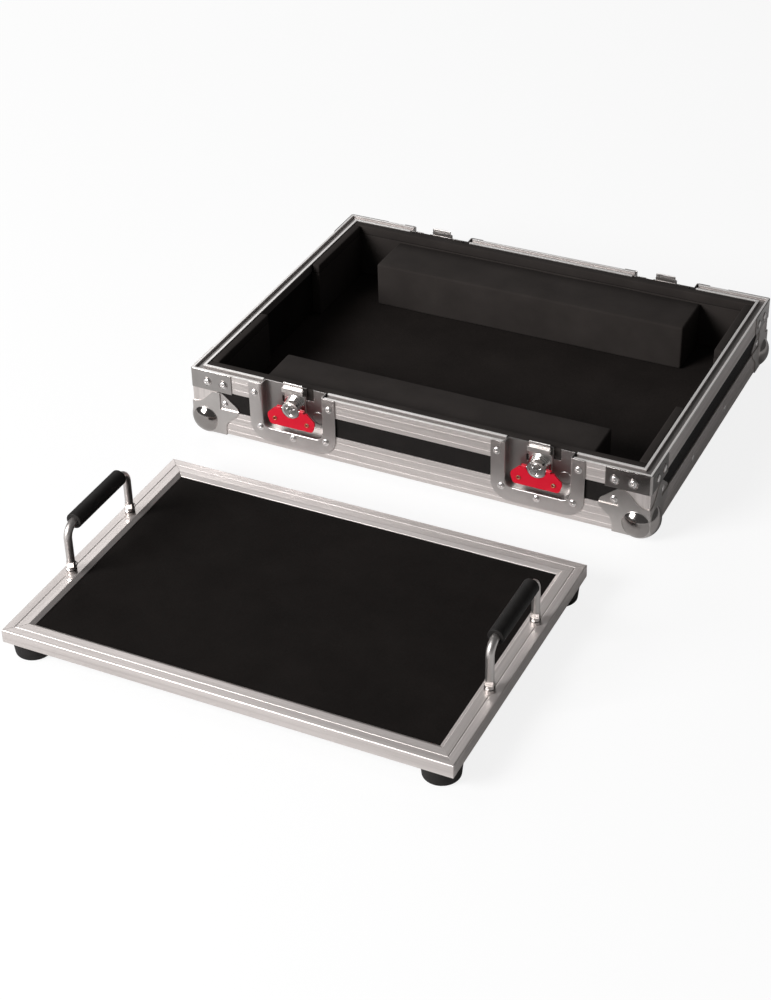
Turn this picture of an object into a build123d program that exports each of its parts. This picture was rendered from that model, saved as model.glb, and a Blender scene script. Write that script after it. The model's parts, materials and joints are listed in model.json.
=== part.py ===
from build123d import *
import math
import os

os.makedirs("parts", exist_ok=True)

# A road case tray for a pedalboard, with its lift-out board standing in front of it.
# Millimetres, +Z up. X runs along the case front, Y from the board to the case rear.
# The origin is on the floor, at the middle of the whole set's length and width.

# ---- case tray ----
case_w = 572.0            # outer width, X
case_d = 430.0            # outer depth, Y
tray_h = 82.2             # underside to rim top
leaf_t = 1.5              # leaf of every aluminium angle and rim
panel_t = 10.0            # wall panels
floor_t = 7.0             # floor panel
carpet_t = 2.2            # carpet on the floor panel
angle_leg = 32.2          # lower angle, both leaves
corner_leg = 35.0         # upright corner angle, both leaves
line_w = 1.2              # drawn line along an extrusion's face
line_deep = 0.2           # and its depth

# ---- rim extrusion, with the groove that takes the lid's tongue ----
rim_leg_h = 24.0          # outer leaf
rim_wall_t = 2.5          # wall outside the groove
groove_w = 7.5            # groove for the tongue
groove_deep = 3.0
lip_w = 3.0               # wall inside the groove
lip_drop = 12.0           # inner leaf
rim_gap_w = 84.0          # the rim is cut this wide at each latch

# ---- fittings at the corners ----
sheet_t = 1.2             # pressed plates: braces, ball corners and dishes
brace_len = 53.0          # rim brace, along each wall
brace_h = 25.5
brace_r = 3.0
ball_r = 23.5             # ball of the corner
ball_inset = 14.9         # ball centre, in from each outer face
ball_nip = 7.0            # the case's lower corner is cut off this far from its tip
ball_top = 44.6           # plate's top at the corner edge, below the rim
ball_peak = (33.5, 26.2)  # plate's peak: along the wall, below the rim
ball_tip = (60.0, 49.0)   # plate's tip
ball_foot = 42.6          # plate's length along the case's lower edge
plate_gap = 0.3           # between pressed plates that lie side by side

# ---- latches ----
latch_inset = 132.5       # latch centre, in from the case's end faces
dish_w = 112.0            # dish flange
dish_h = 77.6             # flange's lower edge, below the rim
dish_r = 24.0             # flange's lower corners
pocket_w = 78.0           # inside the dish
pocket_h = 58.6           # pocket floor, below the rim
pocket_r = 10.0
pocket_deep = 10.3        # outer face to the back plate
pocket_roll = 1.6         # rolled mouth of the dish
pocket_gap = 0.3          # dish wall to the cut-outs in panel and angle
tab_w = 14.8              # pads of the flange over the rim's leaf
tab_h = 22.5
tab_t = 1.8
slot_from = 14.6          # slot in the back plate beside the claw
slot_w = 9.0
slot_h = 14.0
eye_slot = (3.2, 9.0)     # small slot on the other side
dimple_r = 8.5            # ring pressed round the finger dimple
dimple_w = 1.4
dimple_at = (29.5, -13.0)  # from the cam's centre
cam_drop = 24.0           # cam centre, below the rim
cam_r = 10.75             # cam's round head
cam_dome = 0.8            # its crown
cam_face = -4.9            # crown's edge, in from the outer face
cam_steps = ((13.6, 6.9), (12.3, 4.4), (11.6, 1.8))  # radius, and the step's front, in from the face
cam_ring = (7.4, 0.8)     # groove turned in the crown: radius and width
cam_shaft_r = 4.0
shaft_gap = 0.05          # running fit, on the radius
cam_pip_r = 1.3           # blind holes in the crown
cam_pip_at = 5.2
layer_gap = 0.3           # between cam head, claw and back plate
claw_w = 27.6
claw_t = 1.5
claw_travel = 9.0
claw_low = 38.5           # claw's lower end, below the rim
claw_bend = (2.2, 0.5)    # bend line: in from the outer face, below the rim
claw_face_h = 5.0         # height of its front face, under the bend line
claw_clear = 1.1          # from the cam's widest step up to the joggle
claw_tip = (5.0, 5.4)     # tip: in from the outer face, above the rim
wing_t = 2.0
wing_axis_y = -3.2         # wing's pin, in from the outer face
wing_notch_r = 12.0
wing_half = 30.6          # half the wing's width
wing_low = 24.8           # wing's lower edge, below its pin
wing_shoulder = (17.4, 2.4)    # upper corner: across, and above the pin
wing_side = (10.6, 15.5)  # the straight side, from and to, below the pin
wing_foot = 27.6          # lower corner, across
wing_hole_r = 2.1
wing_hole_at = (20.9, -15.5)
knuckle_r = 2.4           # rolled ears on the wing's pin
knuckle_len = 5.0
pin_r = 1.5

# ---- foam and carpet inside the tray ----
foam_t = 11.0             # lining, inside the rim's inner leaf
foam_gap = 0.2
foam_top_gap = 0.3        # lining's top, below the rim
pad_front = 124.0         # side pads' lengths
pad_rear = 121.0
block_len = 414.0         # the blocks that the board lies on
block_h = 59.2
block_front_w = 69.0
block_rear_w = 68.0
block_r = 2.5

# ---- board ----
board_gap = 106.0         # case front to the board's rear edge, as it stands
board_w = 508.0
board_d = 350.0
foot_h = 19.0
foot_top_r = 21.5
foot_low_r = 19.5
foot_round = 2.5
foot_inset = 22.0         # foot centre, in from the board's edges
foot_bore_r = 7.0
foot_bore_deep = 9.0
screw_r = 2.5
screw_head_r = 5.8
screw_head_h = 3.2
screw_gap = 0.05
screw_len = 18.0
frame_w = 25.0            # frame, seen from above
frame_h = 15.5
frame_wall = 2.0
frame_chamfer = 0.8
frame_band = 9.5          # outer band, up to the drawn line
frame_bevel_w = 4.6       # bevel down to the carpet
frame_bevel_h = 3.0
frame_foot_w = 12.0       # lower leaf under the panel
frame_foot_t = 1.5
board_carpet_t = 2.5
carpet_gap = 0.3

# ---- bail handles on the board ----
rod_r = 4.5
rod_bend_r = 14.0
leg_span = 119.0          # between the legs' centres
leg_inset = 12.5          # leg centre, in from the board's end
rod_rise = 57.0           # top bar's centre, above the frame
grip_len = 92.0
grip_r = 9.0
grip_gap = 0.05
clevis_r = 5.8
clevis_waist_r = 5.0
clevis_h = 9.6
clevis_ring_h = 4.4
clevis_pin_up = 7.0       # pin, above the frame
tongue_t = 4.4            # leg's flattened end
tongue_gap = 0.2          # to each cheek of the clevis
tongue_up = 7.6           # flattened length above the pin
hinge_pin_r = 1.9
hinge_pin_end = 0.6       # pin's plain end beyond the clevis
head_r = 3.6
head_h = 3.4

# ---- rivets ----
rivet_r = 4.2
rivet_top_r = 2.6
rivet_h = 1.6
dish_rivets = ((-48.5, -13.5), (48.5, -13.5), (-43.0, -59.5), (43.0, -59.5), (0.0, -65.5))
brace_rivets = (20.5, 42.0)
brace_rivet_drop = 14.8
ball_rivet = (42.0, 41.5)
angle_rivets = (149.0, 266.0)  # on the side walls, back from the case front
angle_rivet_up = 16.2          # above the underside

# ---- levels and places that follow ----
ball_proud = ball_r - ball_inset
z_under = ball_proud
z_rim = z_under + tray_h
z_floor = z_under + leaf_t
z_panel = z_floor + floor_t
z_inside = z_panel + carpet_t
rim_w = rim_wall_t + groove_w + lip_w
wall_in = leaf_t + panel_t
y_front = (board_gap + board_d - case_d - ball_proud) / 2
y_rear = y_front + case_d
y_mid = y_front + case_d / 2
x_end = case_w / 2
latch_x = x_end - latch_inset
y_board_rear = y_front - board_gap
y_board = y_board_rear - board_d / 2
z_top = foot_h + frame_h
z_pin = z_top + clevis_pin_up
made = {}


def node(name, *solids):
    """Keep a piece, or a group of like pieces, under its name."""
    flat = []
    for one in solids:
        flat.extend(one.solids())
    made[name] = flat[0] if len(flat) == 1 else Compound(children=flat)


def outline(points, plane):
    """A face with straight sides, drawn on the given plane."""
    return plane * make_face(Polyline(*points, close=True))


def bar(points, length):
    """A bar along X from a section given as (inward, up)."""
    return extrude(outline(points, Plane.YZ), amount=length / 2, both=True)


def mitre(solid, length, depth, reach=150.0):
    """Cut both ends of a bar at 45 degrees, inward from its outer face."""
    half = length / 2
    corners = ((-half, 0), (half, 0), (half - depth, depth), (-half + depth, depth))
    return solid & extrude(outline(corners, Plane.XY), amount=reach, both=True)


def wall_plane(y):
    """A plane that looks outward, at the depth y behind the outer face."""
    return Plane(origin=(0, y, 0), x_dir=(1, 0, 0), z_dir=(0, -1, 0))


def slab(sketch, y_out, y_in):
    """Extrude a sketch in (x, z) between two depths."""
    return extrude(wall_plane(y_in) * sketch, amount=y_in - y_out)


def u_shape(width, low, radius, top=0.0):
    """A tongue shape: square at the top, with its lower corners rounded."""
    face = Pos(0, (top - low) / 2) * Rectangle(width, top + low)
    return fillet(face.vertices().group_by(Axis.Y)[0], radius)


def block(x0, x1, y0, y1, z0, z1):
    """A box between two corners."""
    size = (x1 - x0, y1 - y0, z1 - z0)
    return Pos((x0 + x1) / 2, (y0 + y1) / 2, (z0 + z1) / 2) * Box(*size)


def line_cuts(at_heights, length):
    """Long shallow grooves across an extrusion's outer face."""
    cuts = []
    for height in at_heights:
        cuts.append(block(-length, length, -1, line_deep, height - line_w / 2, height + line_w / 2))
    return cuts


# ---- the four walls' frames: X along the wall, Y inward, Z from the floor ----
walls = {
    "front": (Pos(0, y_front, 0), case_w),
    "rear": (Pos(0, y_rear, 0) * Rot(0, 0, 180), case_w),
    "left": (Pos(-x_end, y_mid, 0) * Rot(0, 0, -90), case_d),
    "right": (Pos(x_end, y_mid, 0) * Rot(0, 0, 90), case_d),
}
latches = {
    "front_left": Pos(-latch_x, y_front, z_rim),
    "front_right": Pos(latch_x, y_front, z_rim),
    "rear_left": Pos(-latch_x, y_rear, z_rim) * Rot(0, 0, 180),
    "rear_right": Pos(latch_x, y_rear, z_rim) * Rot(0, 0, 180),
}
corners = {
    "front_left": Pos(-x_end, y_front, 0),
    "front_right": Pos(x_end, y_front, 0) * Rot(0, 0, 90),
    "rear_right": Pos(x_end, y_rear, 0) * Rot(0, 0, 180),
    "rear_left": Pos(-x_end, y_rear, 0) * Rot(0, 0, -90),
}

# ---- the case's lower corners are cut off inside the balls ----
nip_plane = Plane(origin=(ball_nip, 0, z_under), z_dir=(1, 1, 1))


def nipped(solid):
    """The part of a solid that is left when the lower corners' tips are cut off."""
    for place in corners.values():
        solid = split(solid, bisect_by=Plane(place * nip_plane.location), keep=Keep.TOP)
    return solid


# ---- cut-out for a dish, from outside the wall to behind the panel ----
hole_r = pocket_r + sheet_t + pocket_gap
hole_w = pocket_w + 2 * (sheet_t + pocket_gap)
hole_low = pocket_h + sheet_t + pocket_gap
dish_hole = slab(u_shape(hole_w, hole_low, hole_r, top=5), -5, wall_in + 1)
rim_hole = block(-rim_gap_w / 2, rim_gap_w / 2, -5, rim_w + 5, -rim_leg_h - 5, 5)

# ---- panels ----
panel_top = z_rim - groove_deep - leaf_t
for side, (place, length) in walls.items():
    trim = leaf_t if length == case_w else wall_in
    half = length / 2 - trim
    if side in ("left", "right"):
        half = case_d / 2 - wall_in
    panel = place * block(-half, half, leaf_t, wall_in, z_panel, panel_top)
    if side in ("front", "rear"):
        for name, spot in latches.items():
            if name.startswith(side):
                panel = panel - spot * dish_hole
    node("panel_" + side, panel)

half_w = case_w / 2
floor = block(-half_w + leaf_t, half_w - leaf_t, y_front + leaf_t, y_rear - leaf_t, z_floor, z_panel)
node("panel_floor", nipped(floor))
inner = wall_in + foam_gap
rug = block(-half_w + inner, half_w - inner, y_front + inner, y_rear - inner, z_panel, z_inside)
node("carpet_floor", rug)

# ---- rim extrusions ----
rim_section = (
    (0, -rim_leg_h),
    (0, 0),
    (rim_wall_t, 0),
    (rim_wall_t, -groove_deep),
    (rim_wall_t + groove_w, -groove_deep),
    (rim_wall_t + groove_w, 0),
    (rim_w, 0),
    (rim_w, -lip_drop),
    (wall_in, -lip_drop),
    (wall_in, -groove_deep - leaf_t),
    (leaf_t, -groove_deep - leaf_t),
    (leaf_t, -rim_leg_h),
)
rim_lines = (-rim_leg_h * 0.28, -rim_leg_h * 0.72)
for side, (place, length) in walls.items():
    rim = mitre(bar(rim_section, length), length, rim_w)
    for cut in line_cuts(rim_lines, length):
        rim = rim - cut
    rim = place * Pos(0, 0, z_rim) * rim
    for name, spot in latches.items():
        if name.startswith(side):
            rim = rim - spot * rim_hole
    node("rim_" + side, rim)

# ---- lower angles ----
angle_section = (
    (0, 0),
    (angle_leg, 0),
    (angle_leg, leaf_t),
    (leaf_t, leaf_t),
    (leaf_t, angle_leg),
    (0, angle_leg),
)
angle_lines = (angle_leg * 0.2, angle_leg * 0.5, angle_leg * 0.8)
for side, (place, length) in walls.items():
    angle = mitre(bar(angle_section, length), length, angle_leg)
    for cut in line_cuts(angle_lines, length):
        angle = angle - cut
    angle = place * Pos(0, 0, z_under) * angle
    for name, spot in latches.items():
        if name.startswith(side):
            angle = angle - spot * dish_hole
    node("angle_" + side, nipped(angle))

# ---- upright corner angles, between the lower angles and the rim ----
upright_z0 = z_under + angle_leg
upright_z1 = z_rim - rim_leg_h
uprights = []
for place in corners.values():
    outer = block(0, corner_leg, 0, corner_leg, upright_z0, upright_z1)
    hollow = block(leaf_t, corner_leg + 1, leaf_t, corner_leg + 1, upright_z0 - 1, upright_z1 + 1)
    uprights.append(place * (outer - hollow))
node("corner_angles", *uprights)

# ---- rim braces, folded round each corner ----
braces = []
for place in corners.values():
    outer = block(-sheet_t, brace_len, -sheet_t, brace_len, z_rim - brace_h, z_rim)
    edge = outer.edges().filter_by(Axis.Z).sort_by_distance((-sheet_t, -sheet_t, z_rim))[0]
    outer = fillet(edge, brace_r)
    hollow = block(0, brace_len + 1, 0, brace_len + 1, z_rim - brace_h - 1, z_rim + 1)
    braces.append(place * (outer - hollow))
node("corner_braces", *braces)


# ---- ball corners ----
def ball_sketch():
    """The plate on one wall: along the wall, and up from the floor."""
    peak_x, peak_drop = ball_peak
    tip_x, tip_drop = ball_tip
    top = z_rim - ball_top
    peak = z_rim - peak_drop
    tip = z_rim - tip_drop
    rise = peak - top
    fall = peak - tip
    low = z_under - sheet_t
    left = Line((0, low), (0, top))
    lead = Spline(
        (0, top),
        (peak_x * 0.36, top + rise * 0.16),
        (peak_x * 0.62, top + rise * 0.62),
        (peak_x * 0.82, peak - rise * 0.06),
        (peak_x, peak),
        tangents=((1, 0), (1, 0)),
    )
    over = Spline(
        (peak_x, peak),
        (peak_x + (tip_x - peak_x) * 0.24, peak - fall * 0.1),
        (peak_x + (tip_x - peak_x) * 0.75, tip + fall * 0.42),
        (tip_x, tip),
        tangents=((1, 0), (0.1, -1)),
    )
    back = Spline(
        (tip_x, tip),
        (tip_x - (tip_x - ball_foot) * 0.35, tip - (tip - z_under) * 0.26),
        (ball_foot + 2.5, tip - (tip - z_under) * 0.52),
        (ball_foot, low),
        tangents=((-0.1, -1), (0, -1)),
    )
    base = Line((ball_foot, low), (0, low))
    return make_face([left, lead, over, back, base])


ball_face = ball_sketch()
above_z = z_under + angle_leg + plate_gap
far = 2 * ball_tip[0]


def ball_wall():
    """One wall's plate, set back where it passes over the laminate."""
    raised = slab(ball_face, -sheet_t, 0)
    window = block(corner_leg + sheet_t, far, -far, far, above_z + sheet_t, z_rim)
    seat = block(corner_leg + plate_gap, far, -far, far, above_z, z_rim)
    low = slab(ball_face, leaf_t - sheet_t, leaf_t) & seat
    step = slab(ball_face, -sheet_t, leaf_t) & seat
    return (raised - window) + (step - window) + low


def ball_base():
    """The plate under the tray, cut to the same length on both walls."""
    span = ball_foot
    back = -sheet_t
    points = ((back, back), (span, back), (span, span * 0.3), (span * 0.3, span), (back, span))
    face = outline(points, Plane.XY)
    return Pos(0, 0, z_under - sheet_t) * extrude(face, amount=sheet_t)


def ball_corner():
    """Two wall plates and a base plate round a ball, pressed over the corner."""
    wall = ball_wall()
    other = mirror(wall, about=Plane(origin=(0, 0, 0), z_dir=(1, -1, 0)))
    edge = block(-sheet_t, 0, -sheet_t, 0, z_under - sheet_t, z_rim - ball_top)
    centre = Pos(ball_inset, ball_inset, z_under + ball_inset)
    ball = centre * Sphere(ball_r)
    plates = split(wall + other + edge + ball_base(), bisect_by=nip_plane, keep=Keep.TOP)
    inside = block(0, far, 0, far, z_under, z_rim)
    shell = ball - split(inside, bisect_by=nip_plane, keep=Keep.TOP)
    return plates + shell


corner_piece = ball_corner()
for name, place in corners.items():
    node("ball_corner_" + name, place * corner_piece)


# ---- latches: dish, claw, cam and wing, in the latch's own frame ----
def latch_dish():
    """Pressed dish: flange, pocket walls and a slotted back plate."""
    flange = slab(u_shape(dish_w, dish_h, dish_r), -sheet_t, 0)
    tub_w = pocket_w + 2 * sheet_t
    tub = slab(u_shape(tub_w, pocket_h + sheet_t, pocket_r + sheet_t), 0, pocket_deep + sheet_t)
    pocket = slab(u_shape(pocket_w, pocket_h, pocket_r, top=2), -sheet_t - 1, pocket_deep)
    dish = flange + tub - pocket
    floor_edges = dish.edges().group_by(Axis.Y)[0]
    mouth = floor_edges.filter_by(lambda e: abs(e.center().X) < tub_w / 2).sort_by(Axis.Z)
    mouth = mouth.filter_by(lambda e: e.bounding_box().max.Z > -pocket_h - 0.5)
    mouth = mouth.filter_by(lambda e: e.bounding_box().min.Z > -pocket_h - 0.5)
    dish = fillet(mouth, pocket_roll)
    for turn in (-1, 1):
        middle = turn * (dish_w / 2 - tab_w / 2)
        tab = slab(Pos(middle, -tab_h / 2) * Rectangle(tab_w, tab_h), -tab_t, -sheet_t)
        dish = dish + tab
    slot_mid = slot_from + slot_w / 2
    slot = Pos(slot_mid, -slot_h / 2) * Rectangle(slot_w, slot_h + 2)
    slot = slab(slot, pocket_deep - 1, pocket_deep + 3)
    dish = dish - slot
    eye = SlotOverall(eye_slot[1], eye_slot[0], rotation=90)
    eye = slab(Pos(-slot_from - eye_slot[0] / 2, -cam_drop + 3.5) * eye, pocket_deep - 1, pocket_deep + 3)
    dish = dish - eye
    shaft_hole = slab(Pos(0, -cam_drop) * Circle(cam_shaft_r + shaft_gap), pocket_deep - 1, wall_in + 1)
    dish = dish - shaft_hole
    ring = Circle(dimple_r) - Circle(dimple_r - dimple_w)
    ring = Pos(dimple_at[0], dimple_at[1] - cam_drop) * ring
    keep = Pos(0, -pocket_h / 2) * Rectangle(pocket_w, pocket_h)
    return dish + slab(ring & keep, pocket_deep - 0.8, pocket_deep)


claw_y = pocket_deep - layer_gap - claw_t / 2


def latch_claw():
    """Draw hook: a slotted plate that is joggled forward and folded back at its tip."""
    half = claw_t / 2
    path = (
        (claw_y, -claw_low),
        (claw_y, -cam_drop + cam_steps[0][0] + claw_clear),
        (claw_bend[0], -claw_bend[1] - claw_face_h),
        (claw_bend[0], -claw_bend[1]),
        (claw_tip[0], -0.2),
        (claw_tip[0], claw_tip[1]),
    )
    line = Polyline(*path)
    strip = offset(line, amount=half, side=Side.BOTH, kind=Kind.INTERSECTION)
    section = Plane.YZ * make_face(strip.edges())
    claw = extrude(section, amount=claw_w / 2, both=True)
    shoulder = claw_w / 2 - 1.3
    ears = block(shoulder, claw_w, -2, wall_in, -0.4, 9)
    claw = claw - ears - mirror(ears, about=Plane.YZ)
    slot_r = cam_shaft_r + layer_gap
    window = SlotCenterToCenter(claw_travel, 2 * slot_r, rotation=90)
    window = Pos(0, -cam_drop - claw_travel / 2) * window
    return claw - slab(window, 4, wall_in)


def latch_cam():
    """Turning drum: a shaft, turned steps and a crowned face, with the wing's pin across it."""
    back = pocket_deep - 2 * layer_gap - claw_t
    points = [(0, back)]
    depth = back
    for radius, front in cam_steps + ((cam_r, cam_face),):
        points += [(radius, depth), (radius, front)]
        depth = front
    crown_r = (cam_r ** 2 + cam_dome ** 2) / (2 * cam_dome)
    crown = RadiusArc((cam_r, cam_face), (0, cam_face - cam_dome), crown_r)
    middle = Line((0, cam_face - cam_dome), (0, back))
    turned = make_face([*Polyline(*points).edges(), *crown.edges(), *middle.edges()])
    drum = revolve(Plane.XY * turned, Axis.Y)
    shaft = slab(Circle(cam_shaft_r), back - 0.5, wall_in - 0.2)
    reach = wing_notch_r + knuckle_len
    pin = Pos(0, wing_axis_y, 0) * Rot(0, 90, 0) * Cylinder(pin_r, 2 * reach)
    cam = drum + shaft + pin
    ring_r, ring_w = cam_ring
    groove = Circle(ring_r + ring_w / 2) - Circle(ring_r - ring_w / 2)
    before = cam_face - cam_dome - 1
    cam = cam - slab(groove, before, cam_face + 0.2)
    for turn in range(3):
        angle = math.radians(30 + 120 * turn)
        spot = (cam_pip_at * math.cos(angle), cam_pip_at * math.sin(angle))
        cam = cam - slab(Pos(*spot) * Circle(cam_pip_r), before, cam_face + 0.9)
    return Pos(0, 0, -cam_drop) * cam


def latch_wing():
    """Turning wing: a notched plate with two rolled ears on the pin."""
    right = (
        wing_shoulder,
        (wing_half, -wing_side[0]),
        (wing_half, -wing_side[1]),
        (wing_foot, -wing_low),
    )
    left = tuple((-x, z) for x, z in reversed(right))
    plate = make_face(Polyline(*right, *left, close=True))
    plate = fillet(plate.vertices().filter_by(lambda v: v.Y < 0), 4.2)
    plate = plate - Circle(wing_notch_r)
    for turn in (-1, 1):
        plate = plate - Pos(turn * wing_hole_at[0], wing_hole_at[1]) * Circle(wing_hole_r)
    wing = slab(plate, wing_axis_y - wing_t / 2, wing_axis_y + wing_t / 2)
    for turn in (-1, 1):
        middle = turn * (wing_notch_r + knuckle_len / 2)
        ear_roll = Pos(middle, wing_axis_y, 0) * Rot(0, 90, 0) * Cylinder(knuckle_r, knuckle_len)
        wing = wing + ear_roll
    bore = Pos(0, wing_axis_y, 0) * Rot(0, 90, 0) * Cylinder(pin_r + shaft_gap, 4 * wing_half)
    return Pos(0, 0, -cam_drop) * (wing - bore)


dish_piece = latch_dish()
claw_piece = latch_claw()
cam_piece = latch_cam()
wing_piece = latch_wing()
for name, spot in latches.items():
    node("latch_dish_" + name, spot * dish_piece)
    node("latch_claw_" + name, spot * claw_piece)
    node("latch_cam_" + name, spot * cam_piece)
    node("latch_wing_" + name, spot * wing_piece)


# ---- foam lining, pads and blocks ----
def lining(length, gap):
    """Foam against a wall: thicker below, where it tucks behind the rim's inner leaf."""
    half = length / 2
    deep = rim_w + foam_t
    ledge = z_rim - lip_drop - gap
    lower = block(-half, half, wall_in + gap, deep, z_inside, ledge)
    upper = block(-half, half, rim_w + gap, deep, ledge, z_rim - foam_top_gap)
    return lower + upper


inner_w = case_w - 2 * (rim_w + foam_gap)
lining_piece = lining(inner_w, foam_gap)
for side in ("front", "rear"):
    node("foam_" + side, walls[side][0] * lining_piece)

lined = rim_w + foam_t
pads = []
for side, way in (("left", -1), ("right", 1)):
    place = walls[side][0]
    for length, end in ((pad_front, -1), (pad_rear, 1)):
        free = case_d / 2 - lined - foam_gap - length / 2
        pads.append(place * Pos(way * end * free, 0, 0) * lining(length, foam_gap))
node("foam_side_pads", *pads)

for name, width, side in (("front", block_front_w, 1), ("rear", block_rear_w, -1)):
    wall_y = y_front if side == 1 else y_rear
    near = wall_y + side * (lined + foam_gap)
    low, high = sorted((near, near + side * width))
    foam = block(-block_len / 2, block_len / 2, low, high, z_inside, z_inside + block_h)
    soft = foam.edges().filter_by(Axis.X).group_by(Axis.Z)[-1]
    foam = fillet(soft, block_r)
    node("foam_block_" + name, foam)

# ---- board: panel, carpet and mitred frame ----
board_walls = {
    "front": (Pos(0, y_board - board_d / 2, foot_h), board_w),
    "rear": (Pos(0, y_board + board_d / 2, foot_h) * Rot(0, 0, 180), board_w),
    "left": (Pos(-board_w / 2, y_board, foot_h) * Rot(0, 0, -90), board_d),
    "right": (Pos(board_w / 2, y_board, foot_h) * Rot(0, 0, 90), board_d),
}
deck_up = frame_h - frame_bevel_h - board_carpet_t
frame_section = (
    (0, 0),
    (frame_foot_w, 0),
    (frame_foot_w, frame_foot_t),
    (frame_wall, frame_foot_t),
    (frame_wall, deck_up),
    (frame_w, deck_up),
    (frame_w, frame_h - frame_bevel_h),
    (frame_w - frame_bevel_w, frame_h),
    (frame_band + line_w, frame_h),
    (frame_band + line_w / 2, frame_h - line_w / 2),
    (frame_band, frame_h),
    (frame_chamfer, frame_h),
    (0, frame_h - frame_chamfer),
)
for side, (place, length) in board_walls.items():
    rail = mitre(bar(frame_section, length), length, frame_w)
    node("board_frame_" + side, place * rail)

deck_w = board_w - 2 * frame_wall
deck_d = board_d - 2 * frame_wall
deck_t = deck_up - frame_foot_t
deck = Pos(0, y_board, foot_h + frame_foot_t + deck_t / 2) * Box(deck_w, deck_d, deck_t)
foot_spots = []
for sx in (-1, 1):
    for sy in (-1, 1):
        foot_spots.append((sx * (board_w / 2 - foot_inset), y_board + sy * (board_d / 2 - foot_inset)))
for x, y in foot_spots:
    pilot = Cylinder(screw_r + screw_gap, 2 * deck_t)
    deck = deck - Pos(x, y, foot_bore_deep + screw_len - deck_t) * pilot
node("board_panel", deck)
open_w = board_w - 2 * (frame_w + carpet_gap)
open_d = board_d - 2 * (frame_w + carpet_gap)
rug_z = foot_h + deck_up
rug = Pos(0, y_board, rug_z + board_carpet_t / 2) * Box(open_w, open_d, board_carpet_t)
node("board_carpet", rug)

# ---- rubber feet and their screws ----
foot_half = make_face(Polyline((0, 0), (foot_low_r, 0), (foot_top_r, foot_h), (0, foot_h), close=True))
foot_corner = foot_half.vertices().sort_by_distance((foot_low_r, 0, 0))[0]
foot_half = fillet(foot_corner, foot_round)
foot = revolve(Plane.XZ * foot_half, Axis.Z)
foot = foot - Pos(0, 0, foot_bore_deep / 2) * Cylinder(foot_bore_r, foot_bore_deep)
foot = foot - Pos(0, 0, foot_h / 2) * Cylinder(screw_r + screw_gap, foot_h + 2)
screw = Pos(0, 0, foot_bore_deep - screw_head_h / 2) * Cylinder(screw_head_r, screw_head_h)
screw = screw + Pos(0, 0, foot_bore_deep + screw_len / 2) * Cylinder(screw_r, screw_len)
node("board_feet", *[Pos(x, y, 0) * foot for x, y in foot_spots])
node("board_foot_screws", *[Pos(x, y, 0) * screw for x, y in foot_spots])


# ---- bail handles ----
def clevis():
    """Two turned rings with a waist, slotted along X for the leg's tongue."""
    low = Pos(0, 0, clevis_ring_h / 2) * Cylinder(clevis_r, clevis_ring_h)
    high = Pos(0, 0, clevis_h - clevis_ring_h / 2) * Cylinder(clevis_r, clevis_ring_h)
    waist = Pos(0, 0, clevis_h / 2) * Cylinder(clevis_waist_r, clevis_h)
    body = low + high + waist
    slot_t = tongue_t / 2 + tongue_gap
    slot_floor = clevis_pin_up - rod_r - 2 * tongue_gap
    body = body - block(-clevis_r - 1, clevis_r + 1, -slot_t, slot_t, slot_floor, clevis_h + 1)
    bore = Pos(0, 0, clevis_pin_up) * Rot(90, 0, 0) * Cylinder(hinge_pin_r, 3 * clevis_r)
    return body - bore


def hinge_pin():
    """Pin across the clevis, with a round head on the rear side."""
    length = 2 * clevis_r + hinge_pin_end
    pin = Pos(0, -hinge_pin_end / 2, clevis_pin_up) * Rot(90, 0, 0) * Cylinder(hinge_pin_r, length)
    arc_r = (head_r ** 2 + head_h ** 2) / (2 * head_h)
    face = make_face(
        [
            Line((0, clevis_r), (head_r, clevis_r)),
            RadiusArc((head_r, clevis_r), (0, clevis_r + head_h), -arc_r),
            Line((0, clevis_r + head_h), (0, clevis_r)),
        ]
    )
    head = Pos(0, 0, clevis_pin_up) * revolve(face, Axis.Y)
    return pin + head


def bail():
    """Round bar bent to a U in the YZ plane, with a flattened eye at each leg's end."""
    rise = rod_rise - clevis_pin_up
    half = leg_span / 2
    route = FilletPolyline((0, -half, tongue_up), (0, -half, rise), (0, half, rise), (0, half, tongue_up),
                           radius=rod_bend_r)
    rod = sweep(Plane(origin=(0, -half, tongue_up), z_dir=(0, 0, 1)) * Circle(rod_r), path=route)
    thin = tongue_t / 2
    for turn in (-1, 1):
        flat = Pos(0, turn * half, tongue_up / 2) * Box(2 * rod_r, tongue_t, tongue_up)
        eye = Pos(0, turn * half, 0) * Rot(90, 0, 0) * Cylinder(rod_r, tongue_t)
        bore = Pos(0, turn * half, 0) * Rot(90, 0, 0) * Cylinder(hinge_pin_r + shaft_gap, 4 * thin)
        rod = rod + flat + eye - bore
    return rod


bail_piece = bail()
clevis_piece = clevis()
pin_piece = hinge_pin()
grip_z = rod_rise - clevis_pin_up
grip = Rot(90, 0, 0) * (Cylinder(grip_r, grip_len) - Cylinder(rod_r + grip_gap, grip_len + 2))
rims = grip.edges().filter_by(GeomType.CIRCLE).filter_by(lambda e: e.radius > grip_r - 0.1)
grip = fillet(rims, 1.2)
pins = []
for side, way in (("left", -1), ("right", 1)):
    leg_x = way * (board_w / 2 - leg_inset)
    node("handle_rod_" + side, Pos(leg_x, y_board, z_pin) * bail_piece)
    node("handle_grip_" + side, Pos(leg_x, y_board, z_pin + grip_z) * grip)
    feet = []
    for end in (-1, 1):
        spot = Pos(leg_x, y_board + end * leg_span / 2, z_top)
        feet.append(spot * clevis_piece)
        pins.append(spot * pin_piece)
    node("handle_clevises_" + side, *feet)
node("handle_pins", *pins)

# ---- rivets, each a low round head on its plate ----
profile = make_face(Polyline((0, 0), (rivet_r, 0), (rivet_top_r, rivet_h), (0, rivet_h), close=True))
rivet = Rot(90, 0, 0) * revolve(Plane.XZ * profile, Axis.Z)


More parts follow.
